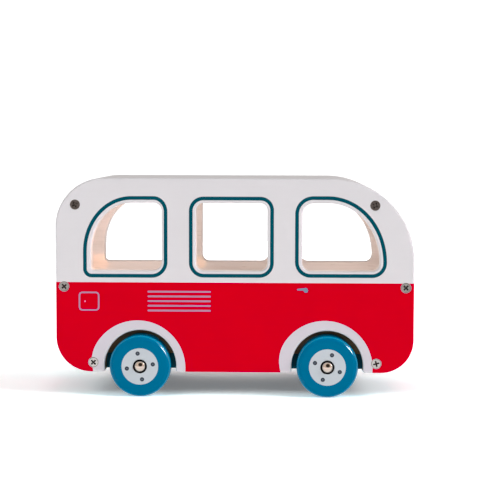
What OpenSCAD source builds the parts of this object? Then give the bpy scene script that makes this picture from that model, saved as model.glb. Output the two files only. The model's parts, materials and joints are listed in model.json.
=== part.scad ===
// Wooden push-along toy bus.
// Two painted side panels are screwed onto a hollow core of five boards:
// a bent roof shell, a front board, a rear board, a chassis board and the
// cabin floor that lies on it.
// Four wooden wheels turn freely on two fixed steel axles.
// Frame: origin on the ground under the middle of the body, +X to the front
// of the bus, +Y to its left side, +Z up. All sizes are in millimetres.

/* [Body] */
// Length of the body over both ends
body_l = 250; // [240:1:262]
// Height of the roof above the ground
roof_z = 152.8; // [150:0.1:158]
// Height of the lower edge of the side panels above the ground
panel_bottom_z = 17; // [15.5:0.1:17.2]
// Radius of the upper corner at the rear
rear_top_r = 34.3; // [30:0.1:36]
// Radius of the upper corner at the front
front_top_r = 58.2; // [54:0.1:60]
// Radius of the lower corner at the rear
rear_bottom_r = 24.4; // [21:0.1:25]
// Radius of the lower corner at the front
front_bottom_r = 23; // [21:0.1:25]

/* [Boards] */
// Thickness of each side panel
panel_t = 12; // [10:0.5:13]
// Width of the hollow core between the side panels
core_w = 68; // [60:0.5:76]
// Thickness of the roof shell
roof_t = 16; // [14:0.1:16.5]
// Thickness of the front and rear boards
end_t = 11.6; // [10:0.1:12]
// Thickness of the chassis board
chassis_t = 10.7; // [9:0.1:11]
// Thickness of the bare cabin floor on the chassis board
floor_t = 18.8; // [18.2:0.1:20]
// How far the chassis board sits above the lower edge of the panels
chassis_inset = 1; // [0.6:0.1:1.2]

/* [Windows] */
// Height of the window sills above the ground
sill_z = 88.2; // [86:0.1:90]
// Height of the window heads above the ground
head_z = 135.7; // [130:0.1:136]
// Rear edge of the rear window, from the middle of the body
rear_win_x0 = -100.6; // [-102:0.1:-99]
// Front edge of the rear window
rear_win_x1 = -50.9; // [-53:0.1:-49]
// Rear edge of the middle window
mid_win_x0 = -27; // [-29:0.1:-25]
// Front edge of the middle window
mid_win_x1 = 22.8; // [20:0.1:24]
// Rear edge of the front window
front_win_x0 = 47; // [45:0.1:49]
// Front edge of the front window
front_win_x1 = 101; // [99:0.1:102]
// Radius of the ordinary window corners
win_r = 5.4; // [3:0.1:8]
// Width of the swept rear corner of the rear window
rear_sweep_w = 29.2; // [24:0.1:32]
// Height of the swept rear corner of the rear window
rear_sweep_h = 34.2; // [28:0.1:36]
// Width of the swept front corner of the front window
front_sweep_w = 36; // [30:0.1:38]
// Height of the swept front corner of the front window
front_sweep_h = 41.4; // [34:0.1:41.6]

/* [Wheels] */
// Diameter of the wheels
wheel_d = 43; // [40:0.2:43]
// Thickness of the wheels
wheel_w = 15; // [13:0.1:16]
// Distance of the rear axle behind the middle of the body
rear_axle_x = 66; // [63:0.1:68]
// Distance of the front axle ahead of the middle of the body
front_axle_x = 64.8; // [63:0.1:68]
// Gap between the wheel tread and the wheel arch
arch_gap = 3.5; // [3:0.1:4]
// Radius of the rounding on the outer edge of the tread
tread_r = 3.6; // [2:0.1:4]
// Diameter of the recess around the axle cap
hub_recess_d = 9.8; // [9:0.1:12]
// Depth of the recess around the axle cap
hub_recess_h = 3; // [2.8:0.1:3.4]

/* [Hardware] */
// Diameter of the steel axles
axle_d = 4; // [3:0.1:4]
// Radial running clearance of a wheel on its axle
run_clear = 0.05; // [0.03:0.01:0.1]
// Diameter of the domed axle caps
cap_d = 7.6; // [7.2:0.1:8]
// Height of the dome of an axle cap above the face of its wheel
dome_h = 2.3; // [1.6:0.1:2.6]
// Diameter of the washers between the chassis board and the wheels
washer_d = 10; // [8:0.1:12]
// Thickness of the washers
washer_t = 0.8; // [0.6:0.1:0.8]
// Diameter of the screw heads
screw_head_d = 6.75; // [6:0.05:7.2]
// Diameter of the screw shanks
screw_d = 3.5; // [3:0.1:3.6]
// Length of the screws
screw_l = 30; // [25:1:32]

/* [Hidden] */
$fn = 96;
eps = 0.01;

white = "#DDDADB";
beech = "#E3C9A8";
teal = "#0B5566";
wheel_blue = "#006C94";
zinc = "#B9B6B0";
chrome = "#E6E6E8";

half_l = body_l / 2;
half_core = core_w / 2;
half_w = half_core + panel_t;
axle_z = wheel_d / 2;
wheel_y0 = half_core + washer_t + 0.2;
wheel_y1 = wheel_y0 + wheel_w;
chassis_z0 = panel_bottom_z + chassis_inset;
chassis_z1 = chassis_z0 + chassis_t;
rear_split_z = roof_z - rear_top_r;
front_split_z = roof_z - front_top_r;
shaft_fit = 0.05;

// Places of the screws in the side view, with the turn of each cross slot.
screw_spots = [
    [-half_l + 13.7, roof_z - 18.6, 30],
    [half_l - 27.7, roof_z - 18.6, 62],
    [-half_l + end_t / 2, 77, 40],
    [half_l - end_t / 2, 77, 8],
    [-99, chassis_z0 + chassis_t / 2 + 0.3, 45],
    [99, chassis_z0 + chassis_t / 2 + 0.3, 14]];

// ---- shapes in the side view ----------------------------------------------

// One square corner with its rounding taken out; sx and sz point outwards.
module corner_waste(x, z, r, sx, sz) {
    translate([x - sx * r, z - sz * r])
        difference() {
            translate([sx > 0 ? 0 : -r - 1, sz > 0 ? 0 : -r - 1]) square(r + 1);
            circle(r);
        }
}

// Outline of the bus in the side view, drawn in by an even inset.
module bus_outline(inset = 0) {
    x1 = half_l - inset;
    z0 = panel_bottom_z + inset;
    z1 = roof_z - inset;
    difference() {
        translate([-x1, z0]) square([2 * x1, z1 - z0]);
        corner_waste(-x1, z1, rear_top_r - inset, -1, 1);
        corner_waste(x1, z1, front_top_r - inset, 1, 1);
        corner_waste(-x1, z0, rear_bottom_r - inset, -1, -1);
        corner_waste(x1, z0, front_bottom_r - inset, 1, -1);
    }
}

// Points of one rounded corner, a quarter of an ellipse.
function corner_pts(cx, cz, rx, rz, a0, n) =
    [for (i = [0:n]) let (a = a0 + 90 * i / n) [cx + rx * cos(a), cz + rz * sin(a)]];

// A window opening; each corner has its own width and height.
module window_shape(x0, x1, bl, br, tr, tl) {
    polygon(concat(
        corner_pts(x1 - tr[0], head_z - tr[1], tr[0], tr[1], 0, 16),
        corner_pts(x0 + tl[0], head_z - tl[1], tl[0], tl[1], 90, 16),
        corner_pts(x0 + bl[0], sill_z + bl[1], bl[0], bl[1], 180, 8),
        corner_pts(x1 - br[0], sill_z + br[1], br[0], br[1], 270, 8)));
}

module windows() {
    r = [win_r, win_r];
    window_shape(rear_win_x0, rear_win_x1, r * 0.45, r * 1.18, r * 1.12,
                 [rear_sweep_w, rear_sweep_h]);
    window_shape(mid_win_x0, mid_win_x1, r, r, r, r);
    window_shape(front_win_x0, front_win_x1, r * 1.15, r,
                 [front_sweep_w, front_sweep_h], r * 1.48);
}

module wheel_arches() {
    for (x = [-rear_axle_x, front_axle_x])
        translate([x, axle_z]) circle(wheel_d / 2 + arch_gap);
}

// Stands a side-view shape upright, from y - t to y.
module upright(y, t) {
    translate([0, y, 0]) rotate([90, 0, 0]) linear_extrude(t) children();
}

// ---- screws and their holes -----------------------------------------------

// Places children at every screw of one side; side -1 is right, 1 is left.
module at_screws(side, which = [0, 1, 2, 3, 4, 5]) {
    for (i = which)
        translate([screw_spots[i][0], side * half_w, screw_spots[i][1]])
            rotate([side < 0 ? 90 : -90, 0, 0]) rotate([0, 0, screw_spots[i][2]])
                children();
}

// A countersunk screw with a cross slot; its head lies just under z = 0.
module wood_screw() {
    head_h = (screw_head_d - screw_d) / 2;
    tip = 5;
    translate([0, 0, -0.1])
        difference() {
            union() {
                translate([0, 0, -0.35]) cylinder(h = 0.35, d = screw_head_d);
                translate([0, 0, -0.35 - head_h])
                    cylinder(h = head_h, d1 = screw_d, d2 = screw_head_d);
                translate([0, 0, -screw_l + tip])
                    cylinder(h = screw_l - tip - 0.35 - head_h + eps, d = screw_d);
                translate([0, 0, -screw_l])
                    cylinder(h = tip + eps, d1 = 0.8, d2 = screw_d);
            }
            for (a = [0, 90]) rotate([0, 0, a])
                translate([-1.95, -0.45, -1.6]) cube([3.9, 0.9, 2]);
        }
}

// Clearance for one screw: a countersink and a hole of the shank's size.
module screw_hole() {
    head_h = (screw_head_d - screw_d) / 2;
    c = 0.12;
    translate([0, 0, -0.45]) cylinder(h = 1.45, d = screw_head_d + 2 * c);
    translate([0, 0, -0.45 - head_h - c])
        cylinder(h = head_h + c + eps, d1 = screw_d + 2 * shaft_fit,
                 d2 = screw_head_d + 2 * c);
    translate([0, 0, -screw_l - 0.6])
        cylinder(h = screw_l, d = screw_d + 2 * shaft_fit);
}

// ---- body -----------------------------------------------------------------

module side_panel(side) {
    difference() {
        upright(side < 0 ? -half_core : half_w, panel_t)
            difference() {
                bus_outline();
                windows();
                wheel_arches();
            }
        at_screws(side) screw_hole();
    }
}

module side_panel_right() { color(white) side_panel(-1); }

module side_panel_left() { color(white) side_panel(1); }

// Bent shell that forms the roof and both upper corners.
module roof_shell() {
    color(white)
        difference() {
            upright(half_core, core_w)
                intersection() {
                    difference() {
                        bus_outline();
                        bus_outline(roof_t);
                    }
                    union() {
                        translate([-half_l - 1, rear_split_z])
                            square([half_l + 1, rear_top_r + 1]);
                        translate([-eps, front_split_z])
                            square([half_l + 1, front_top_r + 1]);
                    }
                }
            at_screws(-1, [0, 1]) screw_hole();
            at_screws(1, [0, 1]) screw_hole();
        }
}

module front_board() {
    color(white)
        difference() {
            upright(half_core, core_w)
                intersection() {
                    bus_outline();
                    translate([half_l - end_t, 0]) square([end_t + 1, front_split_z]);
                }
            at_screws(-1, [3]) screw_hole();
            at_screws(1, [3]) screw_hole();
        }
}

module rear_board() {
    color(white)
        difference() {
            upright(half_core, core_w)
                intersection() {
                    bus_outline();
                    translate([-half_l - 1, 0]) square([end_t + 1, rear_split_z]);
                }
            at_screws(-1, [2]) screw_hole();
            at_screws(1, [2]) screw_hole();
        }
}

// Floor of the bus; it carries both axles.
module chassis_board() {
    color(teal)
        difference() {
            upright(half_core, core_w)
                intersection() {
                    bus_outline(chassis_inset);
                    translate([-half_l + end_t, chassis_z0])
                        square([body_l - 2 * end_t, chassis_t]);
                }
            for (x = [-rear_axle_x, front_axle_x])
                translate([x, 0, axle_z]) rotate([90, 0, 0])
                    cylinder(h = core_w + 2, d = axle_d + 2 * shaft_fit, center = true);
            at_screws(-1, [4, 5]) screw_hole();
            at_screws(1, [4, 5]) screw_hole();
        }
}

// Bare floor of the cabin, glued onto the chassis board.
module floor_board() {
    color(beech)
        upright(half_core, core_w)
            translate([-half_l + end_t, chassis_z1]) square([body_l - 2 * end_t, floor_t]);
}

// ---- running gear ---------------------------------------------------------

// Turns a round part modelled along +Z so that +Z points out of one side.
module at_axle(x, side) {
    translate([x, 0, axle_z]) rotate([side < 0 ? 90 : -90, 0, 0]) children();
}

// Half section of a wheel, radius across and axle upwards.
module wheel_section() {
    r = wheel_d / 2;
    inner_r = 1.5;
    bore = axle_d / 2 + run_clear;
    difference() {
        translate([bore, wheel_y0]) square([r - bore, wheel_w]);
        translate([r - tread_r, wheel_y1 - tread_r])
            difference() { square(tread_r + 1); circle(tread_r); }
        translate([r - inner_r, wheel_y0 + inner_r])
            difference() { translate([0, -inner_r - 1]) square(inner_r + 1); circle(inner_r); }
        translate([0, wheel_y1 - hub_recess_h])
            square([hub_recess_d / 2, hub_recess_h + 1]);
    }
}

module wheel(x, side) {
    color(wheel_blue) at_axle(x, side) rotate_extrude() wheel_section();
}

module wheel_front_right() { wheel(front_axle_x, -1); }

module wheel_front_left() { wheel(front_axle_x, 1); }

module wheel_rear_right() { wheel(-rear_axle_x, -1); }

module wheel_rear_left() { wheel(-rear_axle_x, 1); }

module axle(x) {
    l = 2 * (wheel_y1 - hub_recess_h + 2.4);
    color(zinc) at_axle(x, 1) cylinder(h = l, d = axle_d, center = true);
}

module front_axle() { axle(front_axle_x); }

module rear_axle() { axle(-rear_axle_x); }

// Domed cap pushed onto the end of an axle; its skirt stands in the wheel's recess.
module cap(x, side) {
    y0 = wheel_y1 - hub_recess_h + 0.2;
    skirt = wheel_y1 - y0;
    r = cap_d / 2;
    ball = (r * r + dome_h * dome_h) / (2 * dome_h);
    color(chrome) at_axle(x, side)
        difference() {
            union() {
                translate([0, 0, y0]) cylinder(h = skirt, d = cap_d);
                intersection() {
                    translate([0, 0, wheel_y1 + dome_h - ball]) sphere(ball);
                    translate([0, 0, wheel_y1 - eps]) cylinder(h = dome_h + 1, d = cap_d);
                }
            }
            translate([0, 0, y0 - 1]) cylinder(h = 3.25, d = axle_d + 2 * shaft_fit);
        }
}

module cap_front_right() { cap(front_axle_x, -1); }

module cap_front_left() { cap(front_axle_x, 1); }

module cap_rear_right() { cap(-rear_axle_x, -1); }

module cap_rear_left() { cap(-rear_axle_x, 1); }

module washer(x, side) {
    color(zinc) at_axle(x, side)
        translate([0, 0, half_core])
            difference() {
                cylinder(h = washer_t, d = washer_d);
                translate([0, 0, -1]) cylinder(h = washer_t + 2, d = axle_d + 0.3);
            }
}

module washer_front_right() { washer(front_axle_x, -1); }

module washer_front_left() { washer(front_axle_x, 1); }

module washer_rear_right() { washer(-rear_axle_x, -1); }

module washer_rear_left() { washer(-rear_axle_x, 1); }

module panel_screws_right() { color(zinc) at_screws(-1) wood_screw(); }

module panel_screws_left() { color(zinc) at_screws(1) wood_screw(); }

// ---- assembly -------------------------------------------------------------

side_panel_right();
side_panel_left();
roof_shell();
front_board();
rear_board();
chassis_board();
floor_board();
front_axle();
rear_axle();
wheel_front_right();
wheel_front_left();
wheel_rear_right();
wheel_rear_left();
cap_front_right();
cap_front_left();
cap_rear_right();
cap_rear_left();
washer_front_right();
washer_front_left();
washer_rear_right();
washer_rear_left();
panel_screws_right();
panel_screws_left();
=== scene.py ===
import json
import math

import bpy
from mathutils import Matrix, Vector
from mathutils.geometry import delaunay_2d_cdt

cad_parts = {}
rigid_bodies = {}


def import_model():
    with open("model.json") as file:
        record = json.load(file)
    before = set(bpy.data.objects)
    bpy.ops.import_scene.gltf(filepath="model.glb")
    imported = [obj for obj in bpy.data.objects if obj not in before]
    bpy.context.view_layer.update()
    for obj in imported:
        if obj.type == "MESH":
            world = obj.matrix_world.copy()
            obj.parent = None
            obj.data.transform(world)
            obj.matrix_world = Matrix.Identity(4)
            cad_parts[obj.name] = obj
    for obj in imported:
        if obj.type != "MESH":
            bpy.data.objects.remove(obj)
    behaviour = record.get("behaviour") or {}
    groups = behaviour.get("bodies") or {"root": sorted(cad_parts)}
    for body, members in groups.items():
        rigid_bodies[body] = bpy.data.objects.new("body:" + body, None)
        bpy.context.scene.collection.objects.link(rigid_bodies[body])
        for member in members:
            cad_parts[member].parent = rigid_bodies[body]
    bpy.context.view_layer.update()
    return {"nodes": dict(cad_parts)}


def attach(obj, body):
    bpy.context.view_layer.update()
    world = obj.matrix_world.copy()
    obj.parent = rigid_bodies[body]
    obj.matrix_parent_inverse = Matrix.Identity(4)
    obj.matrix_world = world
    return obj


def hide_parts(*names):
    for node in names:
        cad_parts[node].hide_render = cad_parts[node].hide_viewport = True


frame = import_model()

MM = 0.001

# ---------------------------------------------------------------------------
# Sizes of the CAD part, in millimetres
# ---------------------------------------------------------------------------
HALF_L = 125.0
Z0, Z1 = 17.0, 152.8
CORE = 34.0
HALF_W = 46.0
PANEL_T = 12.0
AXLE_Z = 21.5
REAR_X, FRONT_X = -66.0, 64.8
ARCH_R = 25.0
BELT = 80.05
SCREWS = [(-111.3, 134.2, 30), (97.3, 134.2, 62), (-119.2, 77.0, 40),
          (119.2, 77.0, 46), (-99.0, 23.65, 45), (99.0, 23.65, 15)]

# ---------------------------------------------------------------------------
# Paths in the side view: lists of (x, z, nx, nz), normal away from the wood
# ---------------------------------------------------------------------------


def arc(cx, cz, r, a0, a1, n, flip=False, rz=None):
    rz = r if rz is None else rz
    out = []
    for i in range(n + 1):
        a = math.radians(a0 + (a1 - a0) * i / n)
        c, s = math.cos(a), math.sin(a)
        nx, nz = c / r, s / rz
        k = math.hypot(nx, nz) * (-1 if flip else 1)
        out.append((cx + r * c, cz + rz * s, nx / k, nz / k))
    return out


def tidy(path, closed=True):
    out = []
    for p in path:
        if not out or math.hypot(p[0] - out[-1][0], p[1] - out[-1][1]) > 0.01:
            out.append(p)
    if closed and math.hypot(out[0][0] - out[-1][0], out[0][1] - out[-1][1]) < 0.01:
        out.pop()
    return out


def grow(path, d):
    return [(p[0] + p[2] * d, p[1] + p[3] * d) for p in path]


def rounded(x0, x1, z0, z1, bl, br, tr, tl, hole=False, n=14):
    """Rounded rectangle, each corner a quarter ellipse (width, height)."""
    return tidy(
        arc(x1 - br[0], z0 + br[1], br[0], 270, 360, n, hole, br[1])
        + arc(x1 - tr[0], z1 - tr[1], tr[0], 0, 90, n * 2, hole, tr[1])
        + arc(x0 + tl[0], z1 - tl[1], tl[0], 90, 180, n * 2, hole, tl[1])
        + arc(x0 + bl[0], z0 + bl[1], bl[0], 180, 270, n, hole, bl[1]))


def circle(cx, cz, r, n=48, extra=()):
    angles = sorted([360.0 * i / n for i in range(n)] + list(extra))
    return [(cx + r * math.cos(math.radians(a)), cz + r * math.sin(math.radians(a)))
            for a in angles]


def inside(x, z, poly):
    hit = False
    x0, z0 = poly[-1]
    for x1, z1 in poly:
        if (z0 > z) != (z1 > z) and x < (x1 - x0) * (z - z0) / (z1 - z0) + x0:
            hit = not hit
        x0, z0 = x1, z1
    return hit


class Region:
    """A closed outline with a quick test for what lies in it."""

    def __init__(self, poly):
        self.poly = [(p[0], p[1]) for p in poly]
        xs, zs = [p[0] for p in self.poly], [p[1] for p in self.poly]
        self.box = (min(xs), max(xs), min(zs), max(zs))

    def has(self, x, z):
        b = self.box
        return b[0] <= x <= b[1] and b[2] <= z <= b[3] and inside(x, z, self.poly)


# ---------------------------------------------------------------------------
# Mesh collector with exact corner normals
# ---------------------------------------------------------------------------


class Build:
    def __init__(self):
        self.points, self.index = [], {}
        self.faces, self.normals, self.mats = [], [], []

    def vid(self, p):
        k = (round(p[0], 4), round(p[1], 4), round(p[2], 4))
        i = self.index.get(k)
        if i is None:
            i = self.index[k] = len(self.points)
            self.points.append(p)
        return i

    def face(self, corners, mat):
        ids, ns = [], []
        for p, n in corners:
            i = self.vid(p)
            if i not in ids:
                ids.append(i)
                ns.append(n)
        if len(ids) < 3:
            return
        g = Vector((0, 0, 0))
        pts = [Vector(self.points[i]) for i in ids]
        for i in range(1, len(pts) - 1):
            g += (pts[i] - pts[0]).cross(pts[i + 1] - pts[0])
        if g.length < 1e-9:
            return
        mean = sum((Vector(n) for n in ns), Vector((0, 0, 0)))
        if g.dot(mean) < 0:
            ids.reverse()
            ns.reverse()
        self.faces.append(ids)
        self.normals.append(ns)
        self.mats.append(mat)

    def strip(self, a, b, mat, closed=True):
        """Quads between two rings of (point, normal)."""
        n = len(a)
        for i in range(n if closed else n - 1):
            j = (i + 1) % n
            self.face([a[i], a[j], b[j], b[i]], mat(i) if callable(mat) else mat)

    def object(self, name, materials):
        me = bpy.data.meshes.new(name)
        me.from_pydata([[c * MM for c in p] for p in self.points], [], self.faces)
        for m in materials:
            me.materials.append(m)
        me.polygons.foreach_set("material_index", self.mats)
        me.polygons.foreach_set("use_smooth", [True] * len(self.faces))
        me.update()
        me.normals_split_custom_set(
            [tuple(Vector(n).normalized()) for ns in self.normals for n in ns])
        ob = bpy.data.objects.new(name, me)
        bpy.context.scene.collection.objects.link(ob)
        return ob


def cdt(loops, chains=()):
    """Triangles of the plane cut by closed loops and open chains of 2-D points."""
    pts, edges = [], []
    for loop in loops:
        k, n = len(pts), len(loop)
        pts += [(p[0], p[1]) for p in loop]
        edges += [(k + i, k + (i + 1) % n) for i in range(n)]
    for chain in chains:
        k = len(pts)
        pts += [(p[0], p[1]) for p in chain]
        edges += [(k + i, k + i + 1) for i in range(len(chain) - 1)]
    out, _, tris, orig, _, _ = delaunay_2d_cdt([Vector(p) for p in pts], edges, [], 0, 1e-4)
    xy = [pts[o[0]] if o else (v[0], v[1]) for v, o in zip(out, orig)]
    return xy, tris


def on_circle(xy, cx, cz, r, tol=0.03):
    ring = [p for p in xy if abs(math.hypot(p[0] - cx, p[1] - cz) - r) < tol]
    ring.sort(key=lambda p: math.atan2(p[1] - cz, p[0] - cx))
    return ring


# ---------------------------------------------------------------------------
# Materials
# ---------------------------------------------------------------------------


def srgb(r, g, b):
    def lin(c):
        c /= 255.0
        return c / 12.92 if c <= 0.04045 else ((c + 0.055) / 1.055) ** 2.4
    return (lin(r), lin(g), lin(b))


class Nodes:
    def __init__(self, name):
        self.mat = bpy.data.materials.new(name)
        self.mat.use_nodes = True
        self.t = self.mat.node_tree
        self.t.nodes.clear()
        self.out = self.t.nodes.new("ShaderNodeOutputMaterial")
        self.bsdf = self.t.nodes.new("ShaderNodeBsdfPrincipled")
        self.t.links.new(self.bsdf.outputs[0], self.out.inputs[0])
        self.coord = self.t.nodes.new("ShaderNodeTexCoord").outputs["Object"]

    def link(self, a, b):
        self.t.links.new(a, b)

    def mapped(self, scale, loc=(0, 0, 0), rot=(0, 0, 0)):
        m = self.t.nodes.new("ShaderNodeMapping")
        m.inputs["Scale"].default_value = scale
        m.inputs["Location"].default_value = loc
        m.inputs["Rotation"].default_value = rot
        self.link(self.coord, m.inputs["Vector"])
        return m.outputs[0]

    def noise(self, vec, scale, detail=3.0, rough=0.55, distortion=0.0):
        n = self.t.nodes.new("ShaderNodeTexNoise")
        n.inputs["Scale"].default_value = scale
        n.inputs["Detail"].default_value = detail
        n.inputs["Roughness"].default_value = rough
        n.inputs["Distortion"].default_value = distortion
        self.link(vec, n.inputs["Vector"])
        return n.outputs["Fac"]

    def ramp(self, fac, stops):
        r = self.t.nodes.new("ShaderNodeValToRGB")
        e = r.color_ramp.elements
        while len(e) < len(stops):
            e.new(0.5)
        for x, (pos, col) in zip(e, stops):
            x.position = pos
            x.color = (*col, 1.0)
        self.link(fac, r.inputs[0])
        return r.outputs[0]

    def span(self, fac, lo, hi, a=0.3, b=0.7):
        m = self.t.nodes.new("ShaderNodeMapRange")
        m.inputs["From Min"].default_value = a
        m.inputs["From Max"].default_value = b
        m.inputs["To Min"].default_value = lo
        m.inputs["To Max"].default_value = hi
        self.link(fac, m.inputs["Value"])
        return m.outputs[0]

    def mix(self, fac, a, b, kind="MIX"):
        m = self.t.nodes.new("ShaderNodeMix")
        m.data_type = "RGBA"
        m.blend_type = kind
        if isinstance(fac, (int, float)):
            m.inputs["Factor"].default_value = fac
        else:
            self.link(fac, m.inputs["Factor"])
        self.link(a, m.inputs["A"])
        self.link(b, m.inputs["B"])
        return m.outputs["Result"]

    def add(self, a, b, ka=1.0, kb=1.0):
        out = []
        for v, k in ((a, ka), (b, kb)):
            m = self.t.nodes.new("ShaderNodeMath")
            m.operation = "MULTIPLY"
            m.inputs[1].default_value = k
            self.link(v, m.inputs[0])
            out.append(m.outputs[0])
        m = self.t.nodes.new("ShaderNodeMath")
        m.operation = "ADD"
        self.link(out[0], m.inputs[0])
        self.link(out[1], m.inputs[1])
        return m.outputs[0]

    def bump(self, height, strength, distance):
        b = self.t.nodes.new("ShaderNodeBump")
        b.inputs["Strength"].default_value = strength
        b.inputs["Distance"].default_value = distance
        self.link(height, b.inputs["Height"])
        self.link(b.outputs[0], self.bsdf.inputs["Normal"])

    def set(self, **kw):
        for k, v in kw.items():
            self.bsdf.inputs[k.replace("_", " ")].default_value = v


def shade(col, k):
    return tuple(min(1.0, c * k) for c in col)


def paint(name, col, rough=0.42, spec=0.25, vary=0.05, peel=0.05, grain=0.06,
          coat=0.0, along="x"):
    """Satin paint on sanded wood: soft blotches, fine orange peel and a trace of grain."""
    m = Nodes(name)
    stretch = {"x": (10, 120, 120), "y": (120, 10, 120), "z": (120, 120, 10)}[along]
    blotch = m.noise(m.mapped((1, 1, 1)), 28.0, 4.0, 0.6)
    grain_n = m.noise(m.mapped(stretch), 4.0, 4.0, 0.6, 0.3)
    fine = m.noise(m.mapped((1, 1, 1)), 1300.0, 2.0, 0.5)
    both = m.add(blotch, grain_n, 0.7, 0.3)
    m.link(m.ramp(both, [(0.3, shade(col, 1 - vary)), (0.5, col), (0.72, shade(col, 1 + vary))]),
           m.bsdf.inputs["Base Color"])
    m.link(m.span(m.add(blotch, fine, 0.6, 0.4), rough - 0.07, rough + 0.08),
           m.bsdf.inputs["Roughness"])
    m.bump(m.add(fine, grain_n, peel, grain), 0.5, 0.0009)
    m.set(Specular_IOR_Level=spec, Coat_Weight=coat)
    return m.mat


def bare_wood(name, dark, mid, light, along="x", rough=0.62, spec=0.2):
    """Pale close-grained wood: drawn-out growth lines, fibre and short dark flecks."""
    m = Nodes(name)
    st = {"x": (5, 70, 70), "y": (70, 5, 70), "z": (70, 70, 5)}[along]
    fb = {"x": (40, 900, 900), "y": (900, 40, 900), "z": (900, 900, 40)}[along]
    fl = {"x": (90, 1100, 1100), "y": (1100, 90, 1100), "z": (1100, 1100, 90)}[along]
    rings = m.noise(m.mapped(st), 2.2, 5.0, 0.6, 0.8)
    fibre = m.noise(m.mapped(fb), 1.0, 3.0, 0.6)
    fleck = m.noise(m.mapped(fl, (0.3, 0.1, 0.2)), 1.0, 2.0, 0.5)
    base = m.ramp(m.add(rings, fibre, 0.72, 0.28),
                  [(0.3, dark), (0.5, mid), (0.7, light)])
    marks = m.ramp(fleck, [(0.0, shade(dark, 0.72)), (0.27, shade(dark, 0.86)), (0.34, (1, 1, 1))])
    m.link(m.mix(0.28, base, marks, "MULTIPLY"), m.bsdf.inputs["Base Color"])
    m.link(m.span(fibre, rough - 0.08, rough + 0.1), m.bsdf.inputs["Roughness"])
    m.bump(m.add(fibre, rings, 0.6, 0.4), 0.35, 0.0004)
    m.set(Specular_IOR_Level=spec)
    return m.mat


def metal(name, dark, light, rough, spread, along=None, scratch=0.15, blot=160.0):
    """Plated or drawn metal with blotchy tone, varied gloss and fine lines."""
    m = Nodes(name)
    tone = m.noise(m.mapped((1, 1, 1)), blot, 4.0, 0.6)
    st = {"y": (900, 25, 900), "x": (25, 900, 900), None: (500, 500, 500)}[along]
    lines = m.noise(m.mapped(st), 1.0, 3.0, 0.6)
    m.link(m.ramp(m.add(tone, lines, 0.6, 0.4), [(0.32, dark), (0.68, light)]),
           m.bsdf.inputs["Base Color"])
    m.link(m.span(m.add(tone, lines, 0.4, 0.6), rough - spread, rough + spread),
           m.bsdf.inputs["Roughness"])
    m.bump(lines, scratch, 0.0001)
    m.set(Metallic=1.0)
    return m.mat


WHITE = paint("white_satin_paint", (0.70, 0.682, 0.705), rough=0.36, spec=0.2, vary=0.018)
BAND = paint("band_white_paint", (0.638, 0.605, 0.658), rough=0.36, spec=0.2, vary=0.018)
RED = paint("red_satin_paint", (0.635, 0.008, 0.052), rough=0.36, spec=0.1, vary=0.045)
TEAL_LINE = paint("teal_line_paint", srgb(15, 77, 91), rough=0.45, spec=0.08, vary=0.08)
MAUVE = paint("mauve_print", srgb(178, 138, 163), rough=0.5, spec=0.08, vary=0.05)
PALE_BLUE = paint("pale_blue_print", srgb(128, 139, 162), rough=0.5, spec=0.08, vary=0.05)
BLUSH = paint("blush_print", srgb(222, 140, 165), rough=0.5, spec=0.08, vary=0.04)
GLASS_PRINT = paint("grey_blue_print", srgb(196, 206, 214), rough=0.4, spec=0.15, vary=0.03)
WOOD_X = bare_wood("bare_wood_lengthwise", (0.74, 0.65, 0.60), (0.80, 0.72, 0.68),
                   (0.84, 0.77, 0.735), "x")
WOOD_Y = bare_wood("bare_wood_crosswise", (0.74, 0.65, 0.60), (0.80, 0.72, 0.68),
                   (0.84, 0.77, 0.735), "y")
HOLE_WOOD = bare_wood("drilled_wood", (0.36, 0.24, 0.15), (0.45, 0.31, 0.2),
                      (0.52, 0.38, 0.26), "y")
# Dark brown wood as painted shade in the wheel wells: the bare cut edge of the arches, and the floor board's sides
# and lower edge.
ARCH_SHADE_WOOD = bare_wood("wood_edge_painted_arch_shade", (0.15, 0.10, 0.055), (0.20, 0.135, 0.08),
                      (0.25, 0.175, 0.11), "x", rough=0.75, spec=0.1)
CHASSIS = paint("teal_chassis_paint", srgb(4, 78, 96), rough=0.45, spec=0.15, vary=0.08)
WHEEL = paint("wheel_blue_paint", srgb(0, 105, 142), rough=0.17, spec=0.2, vary=0.05, peel=0.02,
              grain=0.012, along="y")
# Lighter, glossier blue for a band of the wheels' outer rounding: a painted highlight along the rim.
WHEEL_RIM_HIGHLIGHT = paint("wheel_rim_painted_highlight", srgb(28, 122, 157), rough=0.2, spec=0.45, vary=0.05)
HUB = paint("hub_grey_paint", srgb(191, 198, 204), rough=0.42, spec=0.15, vary=0.02, along="y")
DOT = paint("dark_dot_print", srgb(52, 58, 68), rough=0.5, spec=0.08, vary=0.1)
DOT_LIGHT = paint("dot_centre_print", srgb(96, 104, 114), rough=0.5, spec=0.08, vary=0.08)
# Near-black paint in the wheels' bore and hub recess: painted shade of the deep gap round the axle cap.
RECESS_SHADE = paint("painted_recess_shade", srgb(30, 28, 32), rough=0.6, spec=0.08, vary=0.15)
CHROME = metal("bright_chrome", (0.56, 0.485, 0.43), (0.66, 0.575, 0.51), 0.09, 0.03, scratch=0.05)
ZINC = metal("zinc_plate", (0.50, 0.48, 0.472), (0.68, 0.655, 0.643), 0.36, 0.08, scratch=0.25)
GREY_ZINC = metal("grey_zinc", (0.29, 0.272, 0.265), (0.45, 0.425, 0.41), 0.40, 0.08, scratch=0.3)
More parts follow.
